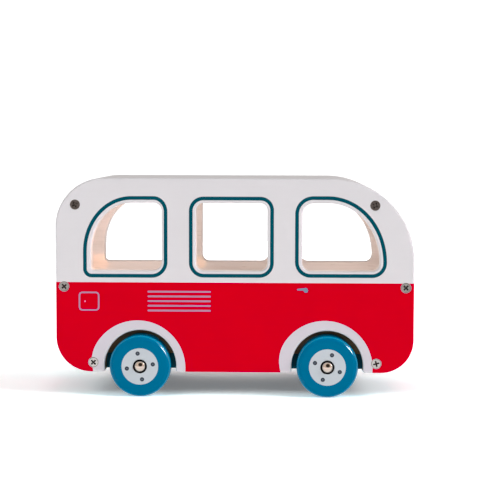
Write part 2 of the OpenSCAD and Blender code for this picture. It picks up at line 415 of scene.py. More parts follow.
# Dark zinc: the top two heads' own tone, and on every head's rim a painted shade of the gap to the countersink.
DARK_ZINC_RIM_SHADE = metal("dark_zinc_with_painted_rim_shade", (0.10, 0.084, 0.078), (0.18, 0.155, 0.145), 0.46, 0.08, scratch=0.3)
DULL_SLOT = metal("weathered_slot", (0.15, 0.13, 0.12), (0.24, 0.21, 0.195), 0.5, 0.1, scratch=0.3)
SLOT_DARK = metal("slot_shadow_zinc", (0.06, 0.049, 0.048), (0.12, 0.098, 0.096), 0.55, 0.1, scratch=0.3)
STEEL = metal("drawn_steel", (0.46, 0.45, 0.44), (0.62, 0.61, 0.60), 0.3, 0.08, along="y",
              scratch=0.3)

# ---------------------------------------------------------------------------
# Side panels
# ---------------------------------------------------------------------------
F = 1.3       # rounding of the outer edges of a panel
FB = 0.6      # rounding of its inner edges
RC = 1.6      # rounding of the corners beside the wheel arches, in the side view

# Ends of the white bands round the wheel arches, on the lower edge.
BAND_ENDS = [(-99.19, -34.44), (32.03, 96.45)]


def arch(cx):
    d = math.sqrt((ARCH_R + RC) ** 2 - (Z0 + RC - AXLE_Z) ** 2)
    t = math.degrees(math.atan2(AXLE_Z - Z0 - RC, d))
    return (arc(cx - d, Z0 + RC, RC, -90, t, 8)
            + arc(cx, AXLE_Z, ARCH_R, 180 + t, -t, 72, True)
            + arc(cx + d, Z0 + RC, RC, 180 - t, 270, 8))


def outline():
    low = (0.0, -1.0)
    return tidy(
        [(BAND_ENDS[0][0], Z0, *low)] + arch(REAR_X)
        + [(BAND_ENDS[0][1], Z0, *low), (0.0, Z0, *low), (BAND_ENDS[1][0], Z0, *low)]
        + arch(FRONT_X) + [(BAND_ENDS[1][1], Z0, *low)]
        + arc(102.0, 40.0, 23.0, 270, 360, 22)
        + [(HALF_L, BELT, 1.0, 0.0)]
        + arc(66.8, 94.6, 58.2, 0, 90, 44)
        + [(0.0, Z1, 0.0, 1.0)]
        + arc(-90.7, 118.5, 34.3, 90, 180, 30)
        + [(-HALF_L, BELT, -1.0, 0.0)]
        + arc(-100.6, 41.4, 24.4, 180, 270, 22))


def sq(r):
    return (r, r)


WINDOWS = [
    rounded(-100.6, -50.9, 88.2, 135.7, sq(2.43), sq(6.37), sq(6.05), (29.2, 34.2), True),
    rounded(-27.0, 22.8, 88.2, 135.7, sq(5.4), sq(5.4), sq(5.4), sq(5.4), True),
    rounded(47.0, 101.0, 88.2, 135.7, sq(6.21), sq(5.4), (36.0, 41.4), sq(7.99), True),
]
# Middle of the painted line round each window.
LINES = [
    rounded(-104.5, -48.15, 84.67, 138.95, sq(4.7), sq(9.8), (8.4, 9.6), (32.5, 37.5)),
    rounded(-30.62, 25.88, 84.95, 138.75, sq(9.0), sq(8.8), sq(8.0), sq(8.7)),
    rounded(43.18, 104.5, 85.15, 139.25, sq(9.6), sq(9.0), (39.5, 45.3), sq(11.3)),
]
LINE_HALF = 1.28


def bands():
    rear = (arc(-76.5, 24.8, 23.6, 196.0, 150.3, 20)
            + arc(-67.9, 19.9, 33.5, 150.3, -2.74, 60))
    front = (arc(55.97, 25.15, 24.9, 195.97, 144.9, 20)
             + arc(63.0, 20.2, 33.5, 144.9, -3.25, 60))
    out = []
    for path, (x0, x1) in zip((rear, front), BAND_ENDS):
        pts = [(p[0], p[1]) for p in tidy(path, False)]
        pts[0], pts[-1] = (x0, Z0 + F), (x1, Z0 + F)
        out.append(pts)
    return out


def prints():
    """(outline, hole or None, material index) of each print on the red paint."""
    out = []
    flap = rounded(-109.1, -94.4, 59.9, 73.5, sq(2.7), sq(2.7), sq(2.7), sq(2.7), n=8)
    out.append((grow(flap, 0), grow(flap, -1.25), 3))
    out.append((circle(-104.6, 66.6, 0.7, 20), None, 5))
    for z in (73.6, 70.3, 67.0, 63.7, 60.35):
        bar = rounded(-60.9, -16.5, z - 0.72, z + 0.72, sq(0.7), sq(0.7), sq(0.7), sq(0.7), n=4)
        out.append((grow(bar, 0), None, 3))
    # door handle: a tapered bar with a round knob under its front end
    bar = (arc(43.9, 75.45, 0.6, 95, 262, 8) + arc(49.7, 75.75, 1.1, 262, 455, 10))
    out.append(([(p[0], p[1]) for p in tidy(bar)], None, 4))
    out.append((circle(49.6, 74.85, 1.65, 28), None, 4))
    return out


def panel(side):
    """One side panel; side -1 is the right one, at negative Y."""
    b = Build()

    def P(x, z, t):
        return (x, side * (HALF_W - t), z)

    def N(nx, nz, nt):
        return (nx, side * nt, nz)

    edge, wins = outline(), WINDOWS
    lines = [(Region(grow(l, LINE_HALF)), Region(grow(l, -LINE_HALF))) for l in LINES]
    band = bands()
    band_in = [Region(c + [(c[-1][0], 0.0), (c[0][0], 0.0)]) for c in band]
    marks = [(Region(o), Region(h) if h else None, m) for o, h, m in prints()]
    csk = 3.7
    holes = []
    for x, z, _ in SCREWS:
        extra = []
        if abs(z - BELT) < csk:
            a = math.degrees(math.asin((BELT - z) / csk))
            extra = [a, 180 - a]
        holes.append(circle(x, z, csk, 48, extra))

    # outer face
    ring0 = grow(edge, -F)
    loops = [ring0] + [grow(w, -F) for w in wins] + holes
    loops += [r.poly for pair in lines for r in pair]
    for o, h, _ in marks:
        loops.append(o.poly)
        if h:
            loops.append(h.poly)
    chains = [[(-HALF_L + F, BELT), (HALF_L - F, BELT)]] + band
    xy, tris = cdt(loops, chains)
    body = Region(ring0)
    cut = [Region(grow(w, -F)) for w in wins] + [Region(h) for h in holes]
    up = N(0, 0, 1)
    for t in tris:
        x = sum(xy[i][0] for i in t) / len(t)
        z = sum(xy[i][1] for i in t) / len(t)
        if not body.has(x, z) or any(c.has(x, z) for c in cut):
            continue
        mat = 0
        if z < BELT:
            mat = 8 if any(r.has(x, z) for r in band_in) else 1
            if mat == 1:
                for o, h, k in marks:
                    if o.has(x, z) and not (h and h.has(x, z)):
                        mat = k
        elif any(o.has(x, z) and not i.has(x, z) for o, i in lines):
            mat = 2
        b.face([(P(*xy[i], 0.0), up) for i in t], mat)

    def red_edge(i):
        p, q = edge[i], edge[(i + 1) % len(edge)]
        x, z = (p[0] + q[0]) / 2, (p[1] + q[1]) / 2
        if z > BELT:
            return False
        return not any(x0 < x < x1 and z < 60 for x0, x1 in BAND_ENDS)

    def in_arch(i):
        p = edge[i]
        return any(math.hypot(p[0] - x, p[1] - AXLE_Z) < ARCH_R + 0.2 for x in (REAR_X, FRONT_X))

    def rings(path, radius, angles, t0, sign):
        out = []
        for a in angles:
            s, c = math.sin(math.radians(a)), math.cos(math.radians(a))
            d, t = -radius * (1 - s), radius * (1 - c)
            out.append([(P(p[0] + p[2] * d, p[1] + p[3] * d, t0 + sign * t),
                         N(p[2] * s, p[3] * s, sign * c)) for p in path])
        return out

    front_angles = [0, 13, 26, 38, 51, 64, 77, 90]
    back_angles = [0, 30, 60, 90]
    for path, outer in [(edge, True)] + [(w, False) for w in wins]:
        fr = rings(path, F, front_angles, 0.0, 1)
        bk = rings(path, FB, back_angles, PANEL_T, -1)
        for k in range(len(fr) - 1):
            if outer and front_angles[k + 1] <= 64:
                b.strip(fr[k], fr[k + 1], lambda i: 1 if red_edge(i) else 0)
            else:
                b.strip(fr[k], fr[k + 1], 0)
        if outer:
            # inside the wheel arches the cut edge is bare wood darkened with painted shade
            b.strip(fr[-1], bk[-1], lambda i: 9 if in_arch(i) else 0)
        else:
            mid = [(P(p[0], p[1], 4.2), N(p[2], p[3], 0.0)) for p in path]
            b.strip(fr[-1], mid, 0)
            b.strip(mid, bk[-1], 6)
        for k in range(len(bk) - 1):
            b.strip(bk[k], bk[k + 1], 0 if outer and k == 2 else 6)

    # inner face
    pilot = [circle(x, z, 1.8, 32) for x, z, _ in SCREWS]
    back0 = grow(edge, -FB)
    backw = [grow(w, -FB) for w in wins]
    bxy, btris = cdt([back0] + backw + pilot)
    body = Region(back0)
    cut = [Region(w) for w in backw] + [Region(h) for h in pilot]
    down = N(0, 0, -1)
    for t in btris:
        x = sum(bxy[i][0] for i in t) / len(t)
        z = sum(bxy[i][1] for i in t) / len(t)
        if body.has(x, z) and not any(c.has(x, z) for c in cut):
            b.face([(P(*bxy[i], PANEL_T), down) for i in t], 6)

    # countersinks and screw holes
    for x, z, _ in SCREWS:
        top = on_circle(xy, x, z, csk)
        ang = [math.atan2(p[1] - z, p[0] - x) for p in top]
        steps = [(csk, 0.0), (3.5, 0.2), (3.495, 0.45), (1.8, 2.2), (1.8, PANEL_T)]
        for k in range(len(steps) - 1):
            (r0, t0), (r1, t1) = steps[k], steps[k + 1]
            nr, nt = t1 - t0, r0 - r1
            m = math.hypot(nr, nt)
            nr, nt = -nr / m, nt / m

            def ring(r, t, exact=None):
                out = []
                for i, a in enumerate(ang):
                    c, s = math.cos(a), math.sin(a)
                    p = exact[i] if exact else (x + r * c, z + r * s)
                    out.append((P(p[0], p[1], t), N(nr * c, nr * s, nt)))
                return out

            last = k == len(steps) - 2
            if not last:
                b.strip(ring(r0, t0, top if k == 0 else None), ring(r1, t1), 0 if k == 0 else 7)
            else:
                a_ring = ring(r0, t0)
                c_ring = [(P(p[0], p[1], t1), N(-(p[0] - x) / 1.8, -(p[1] - z) / 1.8, 0))
                          for p in circle(x, z, 1.8, 32)]
                bridge(b, a_ring, c_ring, 7, (x, side * HALF_W, z))
    name = "painted_panel_right" if side < 0 else "painted_panel_left"
    ob = b.object(name, [WHITE, RED, TEAL_LINE, MAUVE, PALE_BLUE, BLUSH, WOOD_X, HOLE_WOOD, BAND, ARCH_SHADE_WOOD])
    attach(ob, "bus_body")
    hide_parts("side_panel_right" if side < 0 else "side_panel_left")
    return ob


def bridge(b, ra, rb, mat, centre):
    """Triangles between two rings about an axis along Y that have different counts."""
    def ang(c):
        return math.atan2(c[0][2] - centre[2], c[0][0] - centre[0]) % (2 * math.pi)
    ra, rb = sorted(ra, key=ang), sorted(rb, key=ang)
    na, nb = len(ra), len(rb)
    i = j = 0
    while i < na or j < nb:
        ai = ang(ra[(i + 1) % na]) + (2 * math.pi if i + 1 >= na else 0) if i < na else 99
        bj = ang(rb[(j + 1) % nb]) + (2 * math.pi if j + 1 >= nb else 0) if j < nb else 99
        if ai <= bj:
            b.face([ra[i % na], ra[(i + 1) % na], rb[j % nb]], mat)
            i += 1
        else:
            b.face([ra[i % na], rb[(j + 1) % nb], rb[j % nb]], mat)
            j += 1


panel(-1)
panel(1)

# ---------------------------------------------------------------------------
# Boards of the core: closed profiles in the side view, drawn across the bus
# ---------------------------------------------------------------------------


def board(name, node, profile, outer, fillet, side_mat, outer_mat, inner_mat, mats,
          holes=(), marks=(), y_cuts=()):
    """profile: closed path. outer: (first, last) point numbers of the outside run, which carries marks.
    marks: (Region, hole Region or None, material) in (distance along the run, y).
    holes: (x, z, r, depth or None) drilled into both side faces."""
    b = Build()
    w = CORE
    n = len(profile)
    ys = sorted({-(w - fillet), w - fillet, *y_cuts})

    def face_ring(a, side):
        s, c = math.sin(math.radians(a)), math.cos(math.radians(a))
        d, t = -fillet * (1 - s), fillet * (1 - c)
        return [((p[0] + p[2] * d, side * (w - t), p[1] + p[3] * d),
                 (p[2] * s, side * c, p[3] * s)) for p in profile]

    run = list(range(outer[0], outer[1] + 1)) if outer else []

    def edge_mat(i):
        j = (i + 1) % n
        mz = (profile[i][1] + profile[j][1]) / 2
        mx = (profile[i][0] + profile[j][0]) / 2
        if i in run[:-1]:
            return outer_mat(mx, mz)
        return inner_mat(mx, mz)

    for side in (-1, 1):
        angles = [0, 22.5, 45, 67.5, 90]
        rr = [face_ring(a, side) for a in angles]
        for k in range(len(rr) - 1):
            b.strip(rr[k], rr[k + 1], edge_mat)
        flat = grow(profile, -fillet)
        rims = [circle(x, z, r, 32) for x, z, r, _ in holes]
        xy, tris = cdt([flat] + rims)
        body, cut = Region(flat), [Region(r) for r in rims]
        for t in tris:
            x = sum(xy[i][0] for i in t) / len(t)
            z = sum(xy[i][1] for i in t) / len(t)
            if body.has(x, z) and not any(c.has(x, z) for c in cut):
                b.face([((xy[i][0], side * w, xy[i][1]), (0, side, 0)) for i in t], side_mat)
        for (x, z, r, depth), rim in zip(holes, rims):
            if depth is None and side > 0:
                continue
            end = w if depth is None else side * (w - depth)
            nn = [((x - p[0]) / r, 0.0, (z - p[1]) / r) for p in rim]
            a_ring = [((p[0], side * w, p[1]), m) for p, m in zip(rim, nn)]
            c_ring = [((p[0], end, p[1]), m) for p, m in zip(rim, nn)]
            b.strip(a_ring, c_ring, len(mats) - 1)
            if depth is not None:
                tip = ((x, end - side * r * 0.6, z), (0, side, 0))
                for i in range(len(rim)):
                    p, q = rim[i], rim[(i + 1) % len(rim)]
                    b.face([((p[0], end, p[1]), (nn[i][0] * .5, side * .86, nn[i][2] * .5)),
                            ((q[0], end, q[1]), (nn[i][0] * .5, side * .86, nn[i][2] * .5)),
                            tip], len(mats) - 1)

    for i in range(n):
        if i in run[:-1]:
            continue
        j = (i + 1) % n
        p, q = profile[i], profile[j]
        for y0, y1 in zip(ys, ys[1:]):
            b.face([((p[0], y0, p[1]), (p[2], 0, p[3])), ((q[0], y0, q[1]), (q[2], 0, q[3])),
                    ((q[0], y1, q[1]), (q[2], 0, q[3])), ((p[0], y1, p[1]), (p[2], 0, p[3]))],
                   edge_mat(i))

    if run:
        s = [0.0]
        for i, j in zip(run, run[1:]):
            s.append(s[-1] + math.hypot(profile[j][0] - profile[i][0], profile[j][1] - profile[i][1]))
        frame_loop = ([(s[0], y) for y in ys] + [(v, ys[-1]) for v in s[1:-1]]
                      + [(s[-1], y) for y in reversed(ys)] + [(v, ys[0]) for v in reversed(s[1:-1])])
        loops = [frame_loop]
        for o, h, _ in marks:
            loops.append(o.poly)
            if h:
                loops.append(h.poly)
        chains = [[(v, ys[0]), (v, ys[-1])] for v in s[1:-1]]
        xy, tris = cdt(loops, chains)

        def on_run(v):
            k = 0
            while k < len(s) - 2 and v > s[k + 1] + 1e-6:
                k += 1
            f = (v - s[k]) / (s[k + 1] - s[k])
            f = 0.0 if f < 1e-4 else 1.0 if f > 1 - 1e-4 else f
            p, q = profile[run[k]], profile[run[k + 1]]
            return tuple(p[c] + (q[c] - p[c]) * f for c in range(4))

        for t in tris:
            cs = sum(xy[i][0] for i in t) / len(t)
            cy = sum(xy[i][1] for i in t) / len(t)
            if not (s[0] < cs < s[-1] and ys[0] < cy < ys[-1]):
                continue
            c = on_run(cs)
            mat = outer_mat(c[0], c[1])
            for o, h, k in marks:
                if o.has(cs, cy) and not (h and h.has(cs, cy)):
                    mat = k
            corners = []
            for i in t:
                q = on_run(xy[i][0])
                corners.append(((q[0], xy[i][1], q[1]), (q[2], 0, q[3])))
            b.face(corners, mat)
    ob = b.object(name, mats)
    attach(ob, "bus_body")
    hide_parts(node)
    return ob


E = 0.5   # rounding of the boards' corners in the side view
DRILL = 1.8
SCREW_DEPTH = 30.6 - PANEL_T

roof_outer = (arc(HALF_L - E, 94.6 + E, E, 270, 360, 4)
              + arc(66.8, 94.6, 58.2, math.degrees(math.asin(E / 58.2)), 90, 44)
              + [(40.0, Z1, 0, 1), (0.0, Z1, 0, 1), (-40.0, Z1, 0, 1)]
              + arc(-90.7, 118.5, 34.3, 90, 180 - math.degrees(math.asin(E / 34.3)), 30)
              + arc(-HALF_L + E, 118.5 + E, E, 180, 270, 4))
roof_inner = (arc(-109.0 - E, 118.5 + E, E, 270, 360, 4)
              + arc(-90.7, 118.5, 18.3, 180 - math.degrees(math.asin(E / 18.3)), 90, 24, True)
              + arc(66.8, 94.6, 42.2, 90, math.degrees(math.asin(E / 42.2)), 36, True)
              + arc(109.0 + E, 94.6 + E, E, 180, 270, 4))
ROOF = tidy(roof_outer + roof_inner)

fa = math.degrees(math.atan2(-math.sqrt(22.5 ** 2 - 11.9 ** 2), 11.9))
FRONT = tidy(arc(113.4 + E, 40.0 - math.sqrt(22.5 ** 2 - 11.9 ** 2), E, 180, 360 + fa, 6)
             + arc(102.0, 40.0, 23.0, fa, 0, 16)
             + [(HALF_L, BELT, 1, 0)]
             + arc(HALF_L - E, 94.6 - E, E, 0, 90, 4)
             + arc(113.4 + E, 94.6 - E, E, 90, 180, 4))

ra = math.degrees(math.atan2(-math.sqrt(23.9 ** 2 - 13.3 ** 2), -13.3)) % 360
REAR = tidy(arc(-HALF_L + E, 118.5 - E, E, 90, 180, 4)
            + [(-HALF_L, BELT, -1, 0)]
            + arc(-100.6, 41.4, 24.4, 180, ra, 16)
            + arc(-113.4 - E, 41.4 - math.sqrt(23.9 ** 2 - 13.3 ** 2), E, ra, 360, 6)
            + arc(-113.4 - E, 118.5 - E, E, 0, 90, 4))

ca = math.degrees(math.atan2(-math.sqrt(21.5 ** 2 - 10.9 ** 2), 10.9))
cr = math.degrees(math.atan2(-math.sqrt(22.9 ** 2 - 12.3 ** 2), -12.3)) % 360
CHASSIS_PATH = tidy(arc(102.0, 40.0, 22.0, 270, 360 + ca, 10)
                    + arc(113.4 - E, 40.0 - math.sqrt(21.5 ** 2 - 10.9 ** 2), E, ca, 0, 4)
                    + arc(113.4 - E, 28.7 - E, E, 0, 90, 4)
                    + arc(-113.4 + E, 28.7 - E, E, 90, 180, 4)
                    + arc(-113.4 + E, 41.4 - math.sqrt(22.9 ** 2 - 12.3 ** 2), E, 180, cr, 4)
                    + arc(-100.6, 41.4, 23.4, cr, 270, 10))


def find(path, x, z, tol=0.02):
    return min(range(len(path)), key=lambda i: math.hypot(path[i][0] - x, path[i][1] - z))


def run_length(path, i0, x, z):
    """Distance along a path from point i0 to the point nearest to (x, z)."""
    i1 = find(path, x, z)
    return sum(math.hypot(path[k + 1][0] - path[k][0], path[k + 1][1] - path[k][1])
               for k in range(i0, i1))


def white_or_red(x, z):
    return 1 if z < BELT else 0


BOARD_MATS = [WHITE, RED, TEAL_LINE, MAUVE, GLASS_PRINT, WOOD_Y, HOLE_WOOD]


def framed(path, half, line, fill):
    """An outline of even width and the field in it, as marks of a board."""
    inner = Region(grow(path, -half))
    return [(Region(grow(path, half)), inner, line), (inner, None, fill)]


WINDSCREEN = framed(rounded(5.0, 44.0, -25.5, 25.5, sq(9), sq(9), sq(9), sq(9), n=8), LINE_HALF, 2, 4)
front_arc = 23.0 * math.radians(-fa)
HEADLAMPS, TAIL = [], []
for y in (-22.0, 22.0):
    HEADLAMPS += framed(arc(front_arc + 20.0, y, 6.4, 0, 360, 36)[:-1], 0.7, 3, 4)
for y in (-24.0, 24.0):
    TAIL += framed(rounded(118.0 - 68.0, 118.0 - 56.0, y - 3.5, y + 3.5, sq(2.4), sq(2.4), sq(2.4), sq(2.4), n=6),
                   0.7, 3, 4)
TAIL += framed(rounded(6.5, 31.0, -24.0, 24.0, sq(7), sq(7), sq(7), sq(7), n=8), LINE_HALF, 2, 4)

board("painted_roof", "roof_shell", ROOF,
      (find(ROOF, HALF_L, 94.6 + E), find(ROOF, -HALF_L, 118.5 + E)), 0.48, 5,
      lambda x, z: 0, lambda x, z: 5, BOARD_MATS,
      holes=[(SCREWS[0][0], SCREWS[0][1], DRILL, SCREW_DEPTH),
             (SCREWS[1][0], SCREWS[1][1], DRILL, SCREW_DEPTH)], marks=WINDSCREEN)
board("painted_front_board", "front_board", FRONT,
      (find(FRONT, 113.4 + E + E * math.cos(math.radians(fa)),
            40.0 - math.sqrt(22.5 ** 2 - 11.9 ** 2) + E * math.sin(math.radians(fa))),
       find(FRONT, HALF_L, 94.6 - E)), 0.48, 5,
      white_or_red, lambda x, z: 5, BOARD_MATS,
      holes=[(SCREWS[3][0], SCREWS[3][1], DRILL, SCREW_DEPTH)], marks=HEADLAMPS)
board("painted_rear_board", "rear_board", REAR,
      (find(REAR, -HALF_L, 118.5 - E),
       find(REAR, -113.4 - E + E * math.cos(math.radians(ra)),
            41.4 - math.sqrt(23.9 ** 2 - 13.3 ** 2) + E * math.sin(math.radians(ra)))), 0.48, 5,
      white_or_red, lambda x, z: 5, BOARD_MATS,
      holes=[(SCREWS[2][0], SCREWS[2][1], DRILL, SCREW_DEPTH)], marks=TAIL)
board("painted_chassis", "chassis_board", CHASSIS_PATH, None, 0.48, 0,
      lambda x, z: 0, lambda x, z: 0, [CHASSIS, HOLE_WOOD],
      holes=[(REAR_X, AXLE_Z, 2.05, None), (FRONT_X, AXLE_Z, 2.05, None),
             (SCREWS[4][0], SCREWS[4][1], DRILL, SCREW_DEPTH),
             (SCREWS[5][0], SCREWS[5][1], DRILL, SCREW_DEPTH)])

FLOOR_PATH = tidy(arc(113.4 - E, 28.7 + E, E, 270, 360, 4) + arc(113.4 - E, 47.5 - E, E, 0, 90, 4)
                  + arc(-113.4 + E, 47.5 - E, E, 90, 180, 4)
                  + arc(-113.4 + E, 28.7 + E, E, 180, 270, 4))
# The floor board's side faces, seen through the arches, and its lower edge take the dark wood as painted shade.
board("bare_floor", "floor_board", FLOOR_PATH, None, 0.48, 1,
      lambda x, z: 0, lambda x, z: 1 if z < 29.5 else 0, [WOOD_X, ARCH_SHADE_WOOD])

# ---------------------------------------------------------------------------
# Turned parts
# ---------------------------------------------------------------------------


def lathe_ring(cx, r, t, nr, nt, side, y_out, n, phase=0.0):
    """One ring about an axle: radius r, depth t behind the outer plane y_out."""
    out = []
    for i in range(n):
        a = 2 * math.pi * i / n + phase
        c, s = math.cos(a), math.sin(a)
        out.append(((cx + r * c, side * (y_out - t), AXLE_Z + r * s), (nr * c, side * nt, nr * s)))
    return out


def wheel(name, node, body, cx, side, turn):
    b = Build()
    R, W, TR, IR = 21.5, 15.0, 3.6, 1.5
    n, y1 = 96, 50.0
    flat = R - TR
    rim_in = 5.2

    def ring(r, t, nr, nt, m=n):
        return lathe_ring(cx, r, t, nr, nt, side, y1, m)

    # outer face with the hub disc and four dots
    loops = [circle(0, 0, flat, n), circle(0, 0, rim_in, n), circle(0, 0, 12.8, 72)]
    dots = []
    for k in range(4):
        a = math.radians(turn + 90 * k)
        x, z = 9.2 * math.cos(a), 9.2 * math.sin(a)
        dots.append((Region(circle(x, z, 1.5, 24)), Region(circle(x, z, 0.55, 12))))
    for o, i in dots:
        loops += [o.poly, i.poly]
    xy, tris = cdt(loops)
    for t in tris:
        x = sum(xy[i][0] for i in t) / len(t)
        z = sum(xy[i][1] for i in t) / len(t)
        r = math.hypot(x, z)
        if r < rim_in * math.cos(math.pi / n) or r > flat:
            continue
        mat = 1 if r < 12.8 else 0
        for o, i in dots:
            if i.has(x, z):
                mat = 3
            elif o.has(x, z):
                mat = 2
        b.face([((cx + xy[i][0], side * y1, AXLE_Z + xy[i][1]), (0, side, 0)) for i in t], mat)
    # rounded outer edge, tread, rounded inner edge, back; a band of the outer rounding takes a lighter blue as a
    # painted highlight
    prev = ring(flat, 0, 0, 1)
    for k in range(1, 13):
        a = math.radians(90 * k / 12)
        cur = ring(flat + TR * math.sin(a), TR * (1 - math.cos(a)), math.sin(a), math.cos(a))
        b.strip(prev, cur, 5 if 7 <= k <= 11 else 0)
        prev = cur
    for k in range(0, 7):
        a = math.radians(90 * k / 6)
        cur = ring(R - IR + IR * math.cos(a), W - IR + IR * math.sin(a), math.cos(a), -math.sin(a))
        b.strip(prev, cur, 0)
        prev = cur
    b.strip(ring(R - IR, W, 0, -1), ring(2.35, W, 0, -1), 0)
    b.strip(ring(2.35, W, -.7, -.7), ring(2.05, W - 0.3, -.7, -.7), 0)
    # bore and recess floor, dark with painted shade
    b.strip(ring(2.05, W - 0.3, -1, 0), ring(2.05, 3.0, -1, 0), 4)
    b.strip(ring(2.05, 3.0, 0, 1), ring(4.9, 3.0, 0, 1), 4)
    # recess wall with a small chamfer; the wall is dark with painted shade
    up = [((p[0][0], p[0][1], p[0][2]), p[1]) for p in ring(4.9, 0.3, -1, 0)]
    b.strip(ring(rim_in, 0, -.7, .7), ring(4.9, 0.3, -.7, .7), 1)
    b.strip(up, ring(4.9, 3.0, -1, 0), 4)
    ob = b.object(name, [WHEEL, HUB, DOT, DOT_LIGHT, RECESS_SHADE, WHEEL_RIM_HIGHLIGHT])
    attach(ob, body)
    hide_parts(node)
    return ob


wheel("turned_wheel_rear_right", "wheel_rear_right", "rear_right_wheel", REAR_X, -1, 9.5)
wheel("turned_wheel_front_right", "wheel_front_right", "front_right_wheel", FRONT_X, -1, 70.0)
wheel("turned_wheel_rear_left", "wheel_rear_left", "rear_left_wheel", REAR_X, 1, 34.0)
wheel("turned_wheel_front_left", "wheel_front_left", "front_left_wheel", FRONT_X, 1, 52.0)


def axle_cap(name, node, cx, side):
    b = Build()
    n, top, r, h = 64, 52.3, 3.8, 2.3
    ball = (r * r + h * h) / (2 * h)

    def ring(rr, t, nr, nt):
        return lathe_ring(cx, rr, t, nr, nt, side, top, n)

    # dome from its crown to a softly rolled edge, then the skirt
    a1 = math.asin(r / ball) - 0.09
    steps = [(ball * math.sin(a1 * k / 16), ball * (1 - math.cos(a1 * k / 16)),
              math.sin(a1 * k / 16), math.cos(a1 * k / 16)) for k in range(1, 17)]
    foot = steps[-1]
    for k in range(1, 6):
        a = a1 + (math.pi / 2 - a1) * k / 5
        f = k / 5
        steps.append((foot[0] + (r - foot[0]) * math.sin(f * math.pi / 2),
                      foot[1] + 0.55 * f, math.sin(a), math.cos(a)))
    prev = None
    for st in steps:
        cur = ring(*st)
        if prev is None:
            tip = ((cx, side * top, AXLE_Z), (0, side, 0))
            for i in range(n):
                b.face([tip, cur[i], cur[(i + 1) % n]], 0)
        else:
            b.strip(prev, cur, 0)
        prev = cur
    low = top - 47.2
    b.strip(prev, ring(r, low - 0.15, 1, 0), 0)
    b.strip(ring(r, low - 0.15, .7, -.7), ring(r - 0.15, low, .7, -.7), 0)
    b.strip(ring(r - 0.15, low, 0, -1), ring(2.05, low, 0, -1), 0)
    b.strip(ring(2.05, low, -1, 0), ring(2.05, top - 49.45, -1, 0), 0)
    end = ring(2.05, top - 49.45, 0, -1)
    mid = ((cx, side * 49.45, AXLE_Z), (0, -side, 0))
    for i in range(n):
        b.face([mid, end[i], end[(i + 1) % n]], 0)
    ob = b.object(name, [CHROME])
    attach(ob, "bus_body")
    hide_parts(node)
    return ob


for end, cx in (("front", FRONT_X), ("rear", REAR_X)):
    for hand, side in (("right", -1), ("left", 1)):
        axle_cap("chrome_cap_%s_%s" % (end, hand), "cap_%s_%s" % (end, hand), cx, side)


def screws(side):
    b = Build()
    hw, hl, dw, dl, depth = 0.56, 2.15, 0.32, 1.0, 1.45
    for num, (sx, sz, turn) in enumerate(SCREWS):
        # the rim of every head takes the dark zinc as painted shade in the gap to the countersink
        skin, slot, rim = ((1, 4, 1), (1, 4, 1), (3, 2, 1), (3, 2, 1), (0, 2, 1), (0, 2, 1))[num]
        ct, st = math.cos(math.radians(turn)), math.sin(math.radians(turn))

        def P(u, v, t):
            return (sx + u * ct - v * st, side * (HALF_W - t), sz + u * st + v * ct)

        def N(u, v, nt):
            return (u * ct - v * st, side * nt, u * st + v * ct)

        def ring(r, t, nr, nt, n=48):
            out = []
            for i in range(n):
                a = 2 * math.pi * i / n
                c, s = math.cos(a), math.sin(a)
                out.append((P(r * c, r * s, t), N(nr * c, nr * s, nt)))
            return out

        def cross(w, l):
            return [(l, -w), (l, w), (w, w), (w, l), (-w, l), (-w, w), (-l, w), (-l, -w),
                    (-w, -w), (-w, -l), (w, -l), (w, -w)]

        top = 0.1
        outer = circle(0, 0, 3.2, 48)
        slot_top, slot_low = cross(hw, hl), cross(dw, dl)
        xy, tris = cdt([outer, slot_top])
        hole = Region(slot_top)
        for t in tris:
            u = sum(xy[i][0] for i in t) / len(t)
            v = sum(xy[i][1] for i in t) / len(t)
            if not hole.has(u, v):
                b.face([(P(*xy[i], top), N(0, 0, 1)) for i in t], skin)
        for i in range(12):
            j = (i + 1) % 12
            p, q = slot_top[i], slot_top[j]
            p2, q2 = slot_low[i], slot_low[j]
            dx, dz = q[0] - p[0], q[1] - p[1]
            m = math.hypot(dx, dz)
            nn = N(-dz / m * 0.9, dx / m * 0.9, 0.4)
            b.face([(P(*p, top), nn), (P(*q, top), nn), (P(*q2, top + depth), nn),
                    (P(*p2, top + depth), nn)], slot)
        lxy, ltris = cdt([slot_low])
        floor = Region(slot_low)
        for t in ltris:
            u = sum(lxy[i][0] for i in t) / len(t)
            v = sum(lxy[i][1] for i in t) / len(t)
            if floor.has(u, v):
                b.face([(P(*lxy[i], top + depth), N(0, 0, 1)) for i in t], slot)
        # rounded rim, cone, shank and tip
        prev = ring(3.2, top, 0, 1)
        for k in range(1, 5):
            a = math.radians(22.5 * k)
            cur = ring(3.2 + 0.175 * math.sin(a), top + 0.175 * (1 - math.cos(a)), math.sin(a), math.cos(a))
            b.strip(prev, cur, rim)
            prev = cur
        b.strip(prev, ring(3.375, 0.45, 1, 0), rim)
        b.strip(ring(3.375, 0.45, .7, -.7), ring(1.75, 2.075, .7, -.7), 0)
        b.strip(ring(1.75, 2.075, 1, 0), ring(1.75, 25.1, 1, 0), 0)
        b.strip(ring(1.75, 25.1, .96, -.26), ring(0.4, 30.1, .96, -.26), 0)
        last = ring(0.4, 30.1, 0, -1)
        tip = (P(0, 0, 30.1), N(0, 0, -1))
        for i in range(48):
            b.face([tip, last[i], last[(i + 1) % 48]], 0)
    hand = "right" if side < 0 else "left"
    ob = b.object("cross_screws_" + hand, [ZINC, DARK_ZINC_RIM_SHADE, SLOT_DARK, GREY_ZINC, DULL_SLOT])
    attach(ob, "bus_body")
    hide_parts("panel_screws_" + hand)
    return ob


screws(-1)
screws(1)

